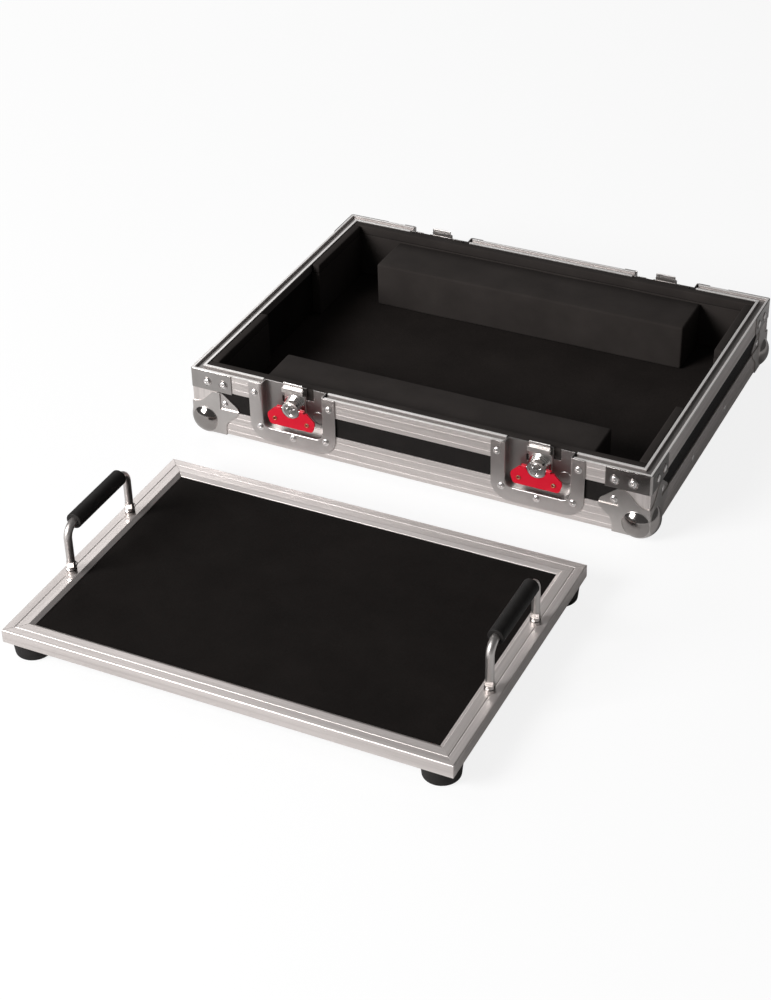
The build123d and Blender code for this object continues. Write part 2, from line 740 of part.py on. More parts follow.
def rivet_at(x, depth, z):
    """A head whose seat lies at the given depth from the outer face."""
    return Pos(x, depth, z) * rivet


latch_heads = []
for spot in latches.values():
    for x, z in dish_rivets:
        seat = -tab_t if z > -tab_h else -sheet_t
        latch_heads.append(spot * rivet_at(x, seat, z))
node("rivets_latches", *latch_heads)

corner_heads = []
turned = Rot(0, 0, -90) * mirror(Pos(0, 0, 0) * Box(1, 1, 1), about=Plane.YZ)
for place in corners.values():
    for flip in (False, True):
        heads = [rivet_at(x, -sheet_t, z_rim - brace_rivet_drop) for x in brace_rivets]
        heads.append(rivet_at(ball_rivet[0], leaf_t - sheet_t, z_rim - ball_rivet[1]))
        for head in heads:
            if flip:
                head = mirror(head, about=Plane(origin=(0, 0, 0), z_dir=(1, -1, 0)))
            corner_heads.append(place * head)
node("rivets_corners", *corner_heads)

angle_heads = []
for side, way in (("left", -1), ("right", 1)):
    place = walls[side][0]
    for back in angle_rivets:
        along = way * (back - case_d / 2)
        angle_heads.append(place * rivet_at(along, 0, z_under + angle_rivet_up))
node("rivets_angles", *angle_heads)

for name, shape in made.items():
    export_step(shape, "parts/" + name + ".step")
print(len(made), "pieces or groups written")
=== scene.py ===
# %% [markdown]
# # A road case tray and its lift-out board
# A shallow road case is a plywood box in black laminate, edged with aluminium extrusions and armed
# with pressed steel corners and recessed latches. The rigid parts come from an exact solid model,
# so this file dresses them: it gives each one a finish, and it adds what a solid model leaves out,
# such as soft foam, felt and real rivets.

# %% Load the solid model
import bpy
import bmesh
import json
import math
import random
from mathutils import Matrix, Vector

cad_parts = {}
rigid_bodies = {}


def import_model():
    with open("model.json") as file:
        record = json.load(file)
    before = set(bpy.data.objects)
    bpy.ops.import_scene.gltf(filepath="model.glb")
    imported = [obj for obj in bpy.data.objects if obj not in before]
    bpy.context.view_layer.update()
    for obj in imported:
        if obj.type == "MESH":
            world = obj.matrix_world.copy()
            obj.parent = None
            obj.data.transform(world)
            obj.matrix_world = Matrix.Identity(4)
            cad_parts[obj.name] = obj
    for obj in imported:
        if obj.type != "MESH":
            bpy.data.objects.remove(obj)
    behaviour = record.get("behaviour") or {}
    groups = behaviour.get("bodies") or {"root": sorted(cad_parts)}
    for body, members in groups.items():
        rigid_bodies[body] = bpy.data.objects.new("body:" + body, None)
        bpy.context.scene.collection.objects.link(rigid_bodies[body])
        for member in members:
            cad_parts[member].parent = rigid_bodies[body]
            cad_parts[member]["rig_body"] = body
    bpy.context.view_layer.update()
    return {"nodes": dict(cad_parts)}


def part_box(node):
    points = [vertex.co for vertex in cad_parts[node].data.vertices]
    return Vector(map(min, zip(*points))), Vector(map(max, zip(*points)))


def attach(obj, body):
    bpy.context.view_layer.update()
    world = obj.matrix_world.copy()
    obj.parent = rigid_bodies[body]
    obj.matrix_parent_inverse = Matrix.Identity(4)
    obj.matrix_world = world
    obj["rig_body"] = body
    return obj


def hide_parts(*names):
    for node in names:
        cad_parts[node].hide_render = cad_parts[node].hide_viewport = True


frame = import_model()
nodes = frame["nodes"]

# %% [markdown]
# ## Places on the case
# Everything is measured in metres in the solid model's own frame. Reading a part's box gives the
# tray's outer faces and its rim, so a rivet or a strip of trim can be put where the real one is
# without a second set of numbers for the whole case. The tray's middle lies on the X axis' zero,
# but not on the Y axis', so both middles and both half sizes are kept by axis.

# %% Measure the tray
SIDES = ("front", "rear", "left", "right")
LATCH_FROM_END = 0.1325

rim_low, rim_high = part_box("rim_front")
rear_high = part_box("rim_rear")[1]
LEFT_X, RIGHT_X = rim_low.x, rim_high.x
FRONT_Y, REAR_Y = rim_low.y, rear_high.y
RIM_Z = rim_high.z
MIDDLE = (0.0, (FRONT_Y + REAR_Y) / 2)
HALF_SIZE = (RIGHT_X, (REAR_Y - FRONT_Y) / 2)
LATCH_X = RIGHT_X - LATCH_FROM_END
print("tray", round(RIGHT_X - LEFT_X, 4), "x", round(REAR_Y - FRONT_Y, 4),
      "rim at", round(RIM_Z, 4))

# %% [markdown]
# ## The camera
# The photograph was taken from above and to the right with a short telephoto lens. Its position was
# found by fitting the case's and the board's corners, so it is given here as a place, the three
# directions of the camera body and a focal length, instead of being turned by eye.

# %% Set the camera
CAMERA_PLACE = (0.85461, -1.79862, 1.35697)
CAMERA_RIGHT = Vector((0.90264144, 0.42998162, -0.01882122))
CAMERA_DOWN = Vector((0.22987434, -0.51861267, -0.8235282))
CAMERA_AHEAD = Vector((-0.36386291, 0.73902416, -0.56696303))

scene = bpy.context.scene
camera_data = bpy.data.cameras.new("studio_camera")
camera_data.sensor_width = 36.0
camera_data.lens = 75.43
camera_data.clip_start, camera_data.clip_end = 0.05, 60.0
camera = bpy.data.objects.new("studio_camera", camera_data)
turn = Matrix((CAMERA_RIGHT, -CAMERA_DOWN, -CAMERA_AHEAD)).transposed().to_4x4()
camera.matrix_world = Matrix.Translation(CAMERA_PLACE) @ turn
scene.collection.objects.link(camera)
scene.camera = camera
print("lens", camera_data.lens, "mm")

# %% [markdown]
# ## World and lamps
# The photograph is a cut-out on white. Rays that come straight from the camera see a white world,
# and mirrors see it much dimmer, so the metal keeps its contrast. The bright square in each ball
# corner gives away the main soft box: it stands at the front left, about 30 degrees up. The
# right-hand sides get only the dim fill, as in the photograph, where they are almost three times
# darker than the fronts. A second lamp at the back left is mirrored by the tops of the left-hand
# rails and draws the bright lines along the top edges.

# %% Light the stage
scene.view_settings.view_transform = "Standard"


def studio_world(fill, mirrored):
    """White for the camera, a dim even fill for the rest, and its own level for mirrors."""
    world = bpy.data.worlds.new("studio_world")
    scene.world = world
    world.use_nodes = True
    tree = world.node_tree
    tree.nodes.clear()
    out = tree.nodes.new("ShaderNodeOutputWorld")
    glow = tree.nodes.new("ShaderNodeBackground")
    path = tree.nodes.new("ShaderNodeLightPath")

    def pick(ray, otherwise, chosen):
        level = tree.nodes.new("ShaderNodeMix")
        tree.links.new(path.outputs[ray], level.inputs[0])
        level.inputs[3].default_value = chosen
        if isinstance(otherwise, float):
            level.inputs[2].default_value = otherwise
        else:
            tree.links.new(otherwise, level.inputs[2])
        return level.outputs[0]

    shown = pick("Is Glossy Ray", fill, mirrored)
    shown = pick("Is Transmission Ray", shown, mirrored)
    shown = pick("Is Camera Ray", shown, 1.0)
    glow.inputs["Color"].default_value = (1, 1, 1, 1)
    tree.links.new(shown, glow.inputs["Strength"])
    tree.links.new(glow.outputs[0], out.inputs[0])


def soft_lamp(name, place, aim, size, power):
    """A square soft box that hangs at a place and looks at a point."""
    data = bpy.data.lights.new(name, "AREA")
    data.shape = "SQUARE"
    data.size = size
    data.energy = power
    lamp = bpy.data.objects.new(name, data)
    lamp.location = place
    lamp.rotation_mode = "QUATERNION"
    lamp.rotation_quaternion = (Vector(aim) - Vector(place)).to_track_quat("-Z", "Y")
    scene.collection.objects.link(lamp)


studio_world(fill=0.12, mirrored=0.10)
soft_lamp("key_lamp", place=(-1.95, -2.77, 1.92), aim=(0, 0, 0), size=1.7, power=156)
soft_lamp("back_lamp", place=(-2.2, 2.3, 1.9), aim=(0, 0.1, 0), size=1.5, power=18)

# %% [markdown]
# ## Shader arithmetic
# A finish is mostly arithmetic on numbers that vary over the surface: stretch a noise, cut it at a
# level, mix two colours by it. Writing that as Python expressions is much easier to read than
# wiring boxes, so one small class wraps a socket, and every operator on it adds the Math node that
# does the sum.

# %% Define the finish builder


class Flow:
    """A number that varies over a surface. Arithmetic on it adds Math nodes."""

    def __init__(self, finish, socket):
        self.finish = finish
        self.socket = socket

    def _sum(self, operation, *terms):
        return self.finish.make("ShaderNodeMath", {"operation": operation}, dict(enumerate(terms)))

    def __add__(self, other):
        return self._sum("ADD", self, other)

    def __sub__(self, other):
        return self._sum("SUBTRACT", self, other)

    def __rsub__(self, other):
        return self._sum("SUBTRACT", other, self)

    def __mul__(self, other):
        return self._sum("MULTIPLY", self, other)

    def __pow__(self, other):
        return self._sum("POWER", self, other)

    def __abs__(self):
        return self._sum("ABSOLUTE", self)

    def or_more(self, other):
        """The larger of the two at each point."""
        return self._sum("MAXIMUM", self, other)

    __radd__ = __add__
    __rmul__ = __mul__


class Finish:
    """A material under construction: make() adds any node and gives its output."""

    def __init__(self, name):
        self.material = bpy.data.materials.new(name)
        self.material.use_nodes = True
        self.tree = self.material.node_tree
        self.tree.nodes.clear()
        self.out = self.tree.nodes.new("ShaderNodeOutputMaterial")
        self.shader = self.tree.nodes.new("ShaderNodeBsdfPrincipled")
        self.tree.links.new(self.shader.outputs[0], self.out.inputs[0])
        self.place = Flow(self, self.tree.nodes.new("ShaderNodeTexCoord").outputs["Object"])

    def feed(self, socket, value):
        """Link a flow to a socket, or set the socket to a plain value."""
        if isinstance(value, Flow):
            self.tree.links.new(value.socket, socket)
        else:
            socket.default_value = value

    def make(self, kind, settings, inputs):
        """Add a node with its settings and inputs."""
        node = self.tree.nodes.new(kind)
        for key, value in settings.items():
            setattr(node, key, value)
        for key, value in inputs.items():
            self.feed(node.inputs[key], value)
        return Flow(self, node.outputs[0])

    def noise(self, waves, detail=4.0, rough=0.55, offset=(0, 0, 0)):
        """Noise with so many waves per metre: one number, or one for each of X, Y and Z."""
        stretch = (waves,) * 3 if isinstance(waves, float) else waves
        spot = self.make("ShaderNodeMapping", {"vector_type": "POINT"},
                         {"Vector": self.place, "Scale": stretch, "Location": offset})
        return self.make("ShaderNodeTexNoise", {},
                         {"Vector": spot, "Scale": 1.0, "Detail": detail, "Roughness": rough})

    def axis(self, index):
        """The place along X, Y or Z."""
        parts = self.make("ShaderNodeSeparateXYZ", {}, {0: self.place})
        return Flow(self, parts.socket.node.outputs[index])

    def ramp(self, value, low, high):
        """0 at low, 1 at high, straight between and level beyond."""
        return self.make("ShaderNodeMapRange", {"clamp": True},
                         {"Value": value, "From Min": low, "From Max": high})

    def colours(self, factor, first, second):
        """A mix of two colours."""
        mix = self.tree.nodes.new("ShaderNodeMix")
        mix.data_type = "RGBA"
        self.feed(mix.inputs[0], factor)
        for slot, colour in ((6, first), (7, second)):
            self.feed(mix.inputs[slot], colour if isinstance(colour, Flow) else (*colour, 1.0))
        return Flow(self, mix.outputs[2])

    def bump(self, height, strength, distance):
        """Fine relief that only bends the light."""
        return self.make("ShaderNodeBump", {},
                         {"Height": height, "Strength": strength, "Distance": distance})

    def surface(self, **inputs):
        """Set the surface's own inputs and give the finished material."""
        for key, value in inputs.items():
            self.feed(self.shader.inputs[key.replace("_", " ")], value)
        return self.material


print("finish builder ready")

# %% [markdown]
# ## Drawn aluminium
# Road case edging is extruded, brushed and clear anodised, so its marks run along the length. Noise
# stretched a few hundred times longer along one axis than across it gives those marks, and each
# part gets the version that runs its own way. The anodised skin scatters part of the light, so it
# isn't a pure mirror. The metal is slightly warm. The bottom of the rim's groove gets a dark
# colour, which is painted shade, and the rim's two lips get a near-white colour with less metal,
# which is a painted highlight.

# %% Make the drawn aluminium, one version for each direction
# Each pair is where a mask starts to change and where it has changed, in metres.
GROOVE_FROM_FACE = (0.0025, 0.0030)
GROOVE_FROM_RIM = (0.0010, 0.0022)
LIPS_FROM_RIM = (0.0009, 0.0004)
# The groove's dark colour is painted shade and the lips' near-white colour is a painted highlight.
GROOVE_SHADE_COLOUR, LIP_HIGHLIGHT_COLOUR = (0.10, 0.095, 0.092), (0.98, 0.95, 0.93)
METAL_SHARE, LESS_ON_LIPS = 0.62, 0.30


def off_middle(finish, axis):
    """How far from the tray's middle plane, along X (0) or Y (1)."""
    return abs(finish.axis(axis) - MIDDLE[axis])


def depth_in(finish, axis):
    """How far in from the tray's outer face, across X (0) or Y (1)."""
    return HALF_SIZE[axis] - off_middle(finish, axis)


def under_rim(finish):
    """How far below the rim's top."""
    return RIM_Z - finish.axis(2)


def groove_painted_shade(finish, along):
    """1 in the tongue's groove of a rim that runs along X or Y, where shade is painted, 0
    elsewhere.
    """
    return (finish.ramp(depth_in(finish, 1 - along), *GROOVE_FROM_FACE)
            * finish.ramp(under_rim(finish), *GROOVE_FROM_RIM))


def lip_painted_highlight(finish):
    """1 on the top edges of a rim, where a highlight is painted, 0 elsewhere."""
    return finish.ramp(under_rim(finish), *LIPS_FROM_RIM)


def drawn(along, across, lengthwise):
    """Waves per metre for marks that run along one axis."""
    waves = [across, across, across]
    waves[along] = lengthwise
    return waves


def drawn_aluminium(name, along, grooved=False):
    """Brushed along one axis: 0 for X, 1 for Y, 2 for Z."""
    finish = Finish(name)
    hairs = finish.noise(drawn(along, 2600.0, 9.0), detail=3.0)
    bands = finish.noise(drawn(along, 160.0, 3.0), detail=2.0, offset=(3.1, 1.7, 0.4))
    smudge = finish.noise(14.0, detail=5.0, offset=(0.6, 2.2, 5.1))
    shade = finish.ramp(bands * 0.55 + hairs * 0.45, 0.35, 0.68)
    colour = finish.colours(shade, (0.60, 0.55, 0.53), (0.84, 0.78, 0.755))
    metal = METAL_SHARE
    if grooved:
        # The lips get a painted highlight: a near-white colour and less metal. The groove gets
        # painted shade.
        wear_and_highlight = lip_painted_highlight(finish)
        colour = finish.colours(groove_painted_shade(finish, along) * 0.75, colour, GROOVE_SHADE_COLOUR)
        colour = finish.colours(wear_and_highlight, colour, LIP_HIGHLIGHT_COLOUR)
        metal = metal - wear_and_highlight * LESS_ON_LIPS
    return finish.surface(
        Base_Color=colour,
        Metallic=metal,
        Roughness=0.30 + hairs * 0.14 + smudge * 0.08,
        Normal=finish.bump(hairs, 0.2, 0.0002),
    )


aluminium_x = drawn_aluminium("drawn_aluminium_x", 0)
aluminium_y = drawn_aluminium("drawn_aluminium_y", 1)
aluminium_z = drawn_aluminium("drawn_aluminium_z", 2)
rim_aluminium_x = drawn_aluminium("rim_aluminium_x", 0, grooved=True)
rim_aluminium_y = drawn_aluminium("rim_aluminium_y", 1, grooved=True)
print("five drawn finishes")

# %% [markdown]
# ## Pressed and plated steel
# The dishes, braces and ball corners are pressed from sheet and zinc plated. The plating is
# smoother than the aluminium and clouds softly, with short random scratches. The ball is made
# smoother than the plates round it and given a darker colour, which is a painted darker reflection.
# The inside of a dish is rougher than its flange and darker, which is painted shade, and the narrow
# waist of a handle's clevis is painted near black, which is painted shade too. A mask on the
# distance from the ball's centre, on the depth behind the tray's face or on the height of the waist
# gives each of them its own zone.

# %% Make the plated steels
BALL_INSET, BALL_CENTRE_Z, BALL_R = 0.0149, 0.0235, 0.0235
BALL_EDGE = (BALL_R + 0.0012, BALL_R + 0.0004)
PAST_THE_PLATE = (-0.0016, -0.0022)
POCKET_DEPTH = (0.0004, 0.0040)
WAIST_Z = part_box("handle_clevises_left")[0].z + 0.0048
WAIST_EDGE = (0.0009, 0.0005)


def plated_steel(name, light, dark, rough, spread, zone=None):
    """Plated sheet. A zone is a function that gives its mask, its colour of painted shade and its
    roughness.
    """
    finish = Finish(name)
    clouds = finish.noise(38.0, detail=3.0)
    grains = finish.noise(900.0, detail=2.0, offset=(4.0, 0.0, 1.0))
    scratch = finish.ramp(finish.noise((60.0, 420.0, 1500.0), detail=1.0), 0.66, 0.74)
    colour = finish.colours(finish.ramp(clouds, 0.25, 0.75), dark, light)
    roughness = rough + clouds * spread + scratch * 0.1
    if zone:
        mask_of, painted_shade_colour, zone_rough = zone
        mask = mask_of(finish)
        # Inside the zone the colour is painted shade.
        colour = finish.colours(mask, colour, painted_shade_colour)
        roughness = roughness + mask * (zone_rough - rough - spread / 2)
    return finish.surface(
        Base_Color=colour,
        Metallic=1.0,
        Roughness=roughness,
        Normal=finish.bump(grains, 0.04, 0.0003),
    )


def on_the_ball(finish):
    """1 on the round part of a ball corner, 0 on its flat plates."""
    gap_x = off_middle(finish, 0) - (HALF_SIZE[0] - BALL_INSET)
    gap_y = off_middle(finish, 1) - (HALF_SIZE[1] - BALL_INSET)
    gap_z = finish.axis(2) - BALL_CENTRE_Z
    reach = (gap_x * gap_x + gap_y * gap_y + gap_z * gap_z) ** 0.5
    outside = finish.ramp(depth_in(finish, 0), *PAST_THE_PLATE)
    in_front = finish.ramp(depth_in(finish, 1), *PAST_THE_PLATE)
    return finish.ramp(reach, *BALL_EDGE) * outside.or_more(in_front)


def in_the_pocket(finish):
    """1 inside a dish, 0 on its flange."""
    return finish.ramp(depth_in(finish, 1), *POCKET_DEPTH)


def in_the_waist(finish):
    """1 in the narrow gap between the two rings of a handle's clevis, 0 elsewhere."""
    return finish.ramp(abs(finish.axis(2) - WAIST_Z), *WAIST_EDGE)


# The pocket's darker colour is painted shade.
dish_steel = plated_steel(
    "dish_zinc_steel", light=(0.70, 0.66, 0.64), dark=(0.59, 0.555, 0.54), rough=0.27, spread=0.1,
    zone=(in_the_pocket, (0.40, 0.38, 0.37), 0.36))
# The ball's darker colour is a painted darker reflection.
ball_steel = plated_steel(
    "ball_zinc_steel", light=(0.70, 0.66, 0.64), dark=(0.60, 0.57, 0.55), rough=0.27, spread=0.1,
    zone=(on_the_ball, (0.40, 0.372, 0.358), 0.12))
claw_steel = plated_steel(
    "claw_zinc_steel", light=(0.72, 0.69, 0.67), dark=(0.64, 0.61, 0.59), rough=0.30, spread=0.1)
zinc = plated_steel(
    "polished_zinc_steel", light=(0.52, 0.49, 0.475), dark=(0.44, 0.415, 0.40),
    rough=0.13, spread=0.08)
bright_zinc = plated_steel(
    "bright_plated_steel", light=(0.92, 0.89, 0.875), dark=(0.84, 0.81, 0.795),
    rough=0.24, spread=0.08)
# The waist's near-black colour is painted shade.
satin_nickel = plated_steel(
    "satin_nickel", light=(0.72, 0.68, 0.66), dark=(0.62, 0.585, 0.565), rough=0.36, spread=0.1,
    zone=(in_the_waist, (0.10, 0.095, 0.09), 0.5))
chrome = plated_steel(
    "bright_chrome", light=(0.86, 0.845, 0.83), dark=(0.78, 0.765, 0.75), rough=0.15, spread=0.06)
brass = plated_steel(
    "yellow_plated_steel", light=(0.72, 0.52, 0.26), dark=(0.55, 0.38, 0.17),
    rough=0.25, spread=0.1)
print("plated steels ready")

# %% [markdown]
# ## Enamel, laminate, foam, felt and rubber
# The wing is dipped in crimson enamel, thick enough to round its edges. The laminate has a fine
# pebble grain that hides scratches. Foam is matt with tiny open cells, felt is darker still with
# stray fibres, and moulded rubber has a faint sheen. All but the enamel are nearly black, so their
# grain has to be read in the roughness and the relief. Each black is slightly warm: its red is the
# level that is asked for, and its green and blue are shares of it.

# %% Make the dark finishes


def tint(level, shares):
    """A colour as a level times its shares of red, green and blue."""
    return tuple(level * share for share in shares)


def crimson_enamel():
    finish = Finish("crimson_enamel")
    flow = finish.noise(130.0, detail=3.0)
    return finish.surface(
        Base_Color=finish.colours(flow, (0.64, 0.002, 0.02), (0.74, 0.005, 0.03)),
        Roughness=0.36 + flow * 0.1,
        Specular_IOR_Level=0.35,
        Coat_Weight=0.12,
        Coat_Roughness=0.2,
        Normal=finish.bump(flow, 0.12, 0.0004),
    )


def pebble_laminate(name, level):
    finish = Finish(name)
    pebbles = finish.make("ShaderNodeTexVoronoi", {}, {"Vector": finish.place, "Scale": 1100.0})
    wear = finish.noise(30.0, detail=6.0)
    base = tint(level, (1.0, 0.80, 0.75))
    worn = tint(level, (1.7, 1.38, 1.28))
    return finish.surface(
        Base_Color=finish.colours(finish.ramp(wear, 0.4, 0.75), base, worn),
        Roughness=0.5 + pebbles * 0.25,
        Specular_IOR_Level=0.22,
        Normal=finish.bump(pebbles, 0.35, 0.0003),
    )


def matt_foam(name, level):
    finish = Finish(name)
    cells = finish.noise(1400.0, detail=3.0, rough=0.7)
    wear_and_highlight = finish.noise(22.0, detail=5.0)
    dust = finish.ramp(finish.noise(500.0, detail=1.0, offset=(2, 2, 2)), 0.70, 0.78)
    base = tint(level, (1.0, 0.82, 0.75))
    pale = tint(level, (1.7, 1.42, 1.3))
    tone = finish.ramp(wear_and_highlight * 0.6 + cells * 0.4, 0.38, 0.66)
    return finish.surface(
        Base_Color=finish.colours(finish.ramp(tone + dust * 0.5, 0.0, 1.5), base, pale),
        Roughness=0.86 + cells * 0.12,
        Specular_IOR_Level=0.25,
        Normal=finish.bump(cells, 0.5, 0.0005),
    )


def needle_felt(name, level):
    finish = Finish(name)
    fibres = finish.noise((3200.0, 420.0, 900.0), detail=2.0, rough=0.8)
    cross = finish.noise((420.0, 3200.0, 900.0), detail=2.0, rough=0.8, offset=(7, 1, 3))
    patch = finish.noise(18.0, detail=4.0)
    nap = fibres * 0.5 + cross * 0.5
    base = tint(level, (0.7, 0.57, 0.52))
    pale = tint(level, (2.2, 1.8, 1.65))
    return finish.surface(
        Base_Color=finish.colours(finish.ramp(nap * 0.8 + patch * 0.2, 0.38, 0.68), base, pale),
        Roughness=0.97,
        Specular_IOR_Level=0.1,
        Normal=finish.bump(nap, 0.7, 0.0008),
    )


def moulded_rubber(name, level):
    finish = Finish(name)
    skin = finish.noise(700.0, detail=4.0)
    bloom = finish.noise(40.0, detail=4.0)
    base = tint(level, (1.0, 0.88, 0.83))
    dusty = tint(level, (2.2, 1.95, 1.83))
    return finish.surface(
        Base_Color=finish.colours(finish.ramp(bloom, 0.45, 0.8), base, dusty),
        Roughness=0.55 + skin * 0.2,
        Specular_IOR_Level=0.3,
        Normal=finish.bump(skin, 0.25, 0.0003),
    )


crimson = crimson_enamel()
laminate = pebble_laminate("black_pebble_laminate", 0.009)
foam = matt_foam("matt_black_foam", 0.028)
# One felt gets two levels: the tray's copy is lighter, painted light against its walls' shade, and
# the board's copy is darker, painted shade.
felt = needle_felt("black_needle_felt_painted_light", 0.0165)
board_felt_painted_shade = needle_felt("board_needle_felt_painted_shade", 0.0100)
rubber = moulded_rubber("moulded_black_rubber", 0.0125)
print("six dark finishes")

# %% [markdown]
# ## Dressing the solid parts
# Each part of the solid model keeps its exact mesh and gets the finish of the real piece. The drawn
# finish is chosen by the way each extrusion runs: the front and rear ones along X, the others
# along Y.

# %% Give every solid part its finish
DRAWN_PARTS = (
    ("rim_", rim_aluminium_x, rim_aluminium_y),
    ("angle_", aluminium_x, aluminium_y),
    ("board_frame_", aluminium_x, aluminium_y),
)
OTHER_PARTS = (
    (aluminium_z, ("corner_angles",)),
    (chrome, ("latch_cam", "handle_pins")),
    (claw_steel, ("latch_claw",)),
    (satin_nickel, ("handle_rod", "handle_clevises")),
    (crimson, ("latch_wing",)),
    (dish_steel, ("latch_dish",)),
    (ball_steel, ("ball_corner",)),
    (zinc, ("corner_braces",)),
    (bright_zinc, ("rivets", "board_foot_screws")),
    (laminate, ("panel_", "board_panel")),
    (foam, ("foam",)),
    (felt, ("carpet_floor",)),
    (board_felt_painted_shade, ("board_carpet",)),
    (rubber, ("handle_grip", "board_feet")),
)


def finish_of(name):
    """The finish that goes with the start of a part's name, and with the way it runs."""
    for opening, along_x, along_y in DRAWN_PARTS:
        if name.startswith(opening):
            return along_x if name.endswith(("front", "rear")) else along_y
    return next(material for material, openings in OTHER_PARTS if name.startswith(openings))


for name, part in nodes.items():
    part.data.materials.clear()
    part.data.materials.append(finish_of(name))
print("dressed", len(nodes), "parts")

# %% [markdown]
# ## Helpers for modelling by hand
# The new pieces are modelled as a person would in the editor: start from a primitive of the right
# size, select faces by where they point, then inset, extrude and bevel. These helpers keep the
# selection clean between steps.

# %% Define the modelling helpers


def box_of(name):
    """A solid part's low and high corners as plain numbers."""
    return [list(map(float, corner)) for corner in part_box(name)]


def clear_selection():
    if bpy.context.object is not None and bpy.context.object.mode != "OBJECT":
        bpy.ops.object.mode_set(mode="OBJECT")
    bpy.ops.object.select_all(action="DESELECT")


def select_only(*pieces):
    """Select these pieces and no others, with the first one active."""
    clear_selection()
    for piece in pieces:
        piece.select_set(True)
    bpy.context.view_layer.objects.active = pieces[0]


def join(pieces, name):
    """Join pieces into the first one and name it."""
    select_only(*pieces)
    if len(pieces) > 1:
        bpy.ops.object.join()
    piece = bpy.context.object
    piece.name = name
    return piece


def start(name, material):
    """Name the new primitive and give it its finish."""
    piece = bpy.context.object
    piece.name = name
    piece.data.name = name
    piece.data.materials.clear()
    piece.data.materials.append(material)
    return piece


def settle(piece):
    """Put a piece's place, turn and size into its mesh."""
    select_only(piece)
    bpy.ops.object.transform_apply(location=True, rotation=True, scale=True)


def add_block(name, low, high, material):
    """A box between two corners, with its size applied to its mesh."""
    clear_selection()
    middle = [(a + b) / 2 for a, b in zip(low, high)]
    bpy.ops.mesh.primitive_cube_add(size=1, location=middle)
    piece = start(name, material)
    piece.scale = [b - a for a, b in zip(low, high)]
    settle(piece)
    return piece


def edit_faces(piece, wanted):
    """Enter edit mode with only the wanted faces selected."""
    select_only(piece)
    bpy.ops.object.mode_set(mode="EDIT")
    bpy.ops.mesh.select_mode(type="FACE")
    mesh = bmesh.from_edit_mesh(piece.data)
    for item in [*mesh.faces, *mesh.edges, *mesh.verts]:
        item.select = False
    for face in mesh.faces:
        if wanted(face):
            face.select_set(True)
    mesh.select_flush_mode()
    bmesh.update_edit_mesh(piece.data)


def done(piece, smooth_angle=35):
    """Leave edit mode with flat faces flat and round ones smooth."""
    bpy.ops.object.mode_set(mode="OBJECT")
    select_only(piece)
    bpy.ops.object.shade_smooth_by_angle(angle=math.radians(smooth_angle))


def cut_across(piece, low, high, axes, spacing, smooth_angle):
    """Cut a piece into even steps along these axes, so that its faces can bend."""
    select_only(piece)
    bpy.ops.object.mode_set(mode="EDIT")
    for axis in axes:
        span = high[axis] - low[axis]
        steps = max(1, int(span / spacing))
        for step in range(1, steps):
            normal, spot = [0.0, 0.0, 0.0], [0.0, 0.0, 0.0]
            normal[axis] = 1.0
            spot[axis] = low[axis] + span * step / steps
            bpy.ops.mesh.select_all(action="SELECT")
            bpy.ops.mesh.bisect(plane_co=spot, plane_no=normal)
    done(piece, smooth_angle)


def apply_all(piece):
    """Apply every modifier in order."""
    select_only(piece)
    for modifier in list(piece.modifiers):
        bpy.ops.object.modifier_apply(modifier=modifier.name)


def copies(pattern, places, name):
    """One object made of copies of a pattern, each with its own mesh at its own place."""
    made = []
    for place in places:
        twin = pattern.copy()
        twin.data = pattern.data.copy()
        twin.matrix_world = place
        scene.collection.objects.link(twin)
        made.append(twin)
    piece = join(made, name)
    piece.data.name = name
    settle(piece)
    return piece


def discard(piece):
    bpy.data.objects.remove(piece, do_unlink=True)


print("helpers ready")

# %% [markdown]
# ## Edges that catch the light
# No real edge is perfectly sharp. A sawn and tumbled extrusion has a radius of about half a
# millimetre, and that narrow strip is what draws the bright lines along a rim. A solid model keeps
# the edge sharp, so each of these parts is copied, its triangles are joined and merged back into
# flat faces, and a bevel rounds every sharp edge. Weighted normals keep the large faces flat. At a
# mitre, the two rounded ends leave the fine line seen in the photograph. The inner slope of the
# board's frame turns by less than the usual limit of 40 degrees, so the frame gets a lower one.

# %% Round the edges of the metal parts
EDGE_RADIUS = {
    "rim_": 0.0006, "angle_": 0.0004, "corner_angles": 0.0004, "corner_braces": 0.0003,
    "latch_dish": 0.00025, "ball_corner": 0.00025, "latch_claw": 0.0003, "latch_wing": 0.0005,
    "handle_clevises": 0.00025,
}
FRAME_RADIUS, FRAME_ANGLE = 0.00025, 22
WELD_GAP, FLAT_WITHIN = 0.000005, 0.5


def with_soft_edges(name, radius, sharper_than=40):
    """A merged copy of a solid part with rounded edges, which then stands for it.

    Its smooth shading stops a little below the angle from which an edge is rounded.
    """
    piece = bpy.data.objects.new(name + "_edged", nodes[name].data.copy())
    scene.collection.objects.link(piece)
    select_only(piece)
    bpy.ops.mesh.customdata_custom_splitnormals_clear()
    bpy.ops.object.mode_set(mode="EDIT")
    bpy.ops.mesh.select_all(action="SELECT")
    bpy.ops.mesh.remove_doubles(threshold=WELD_GAP)
    bpy.ops.mesh.dissolve_limited(angle_limit=math.radians(FLAT_WITHIN))
    done(piece, min(35, sharper_than - 4))
    rounding = piece.modifiers.new("rounding", "BEVEL")
    rounding.width = radius
    rounding.segments = 2
    rounding.limit_method = "ANGLE"
    rounding.angle_limit = math.radians(sharper_than)
    flatness = piece.modifiers.new("flatness", "WEIGHTED_NORMAL")
    flatness.weight = 100
    flatness.keep_sharp = True
    apply_all(piece)
    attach(piece, nodes[name]["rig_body"])
    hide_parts(name)
    return piece


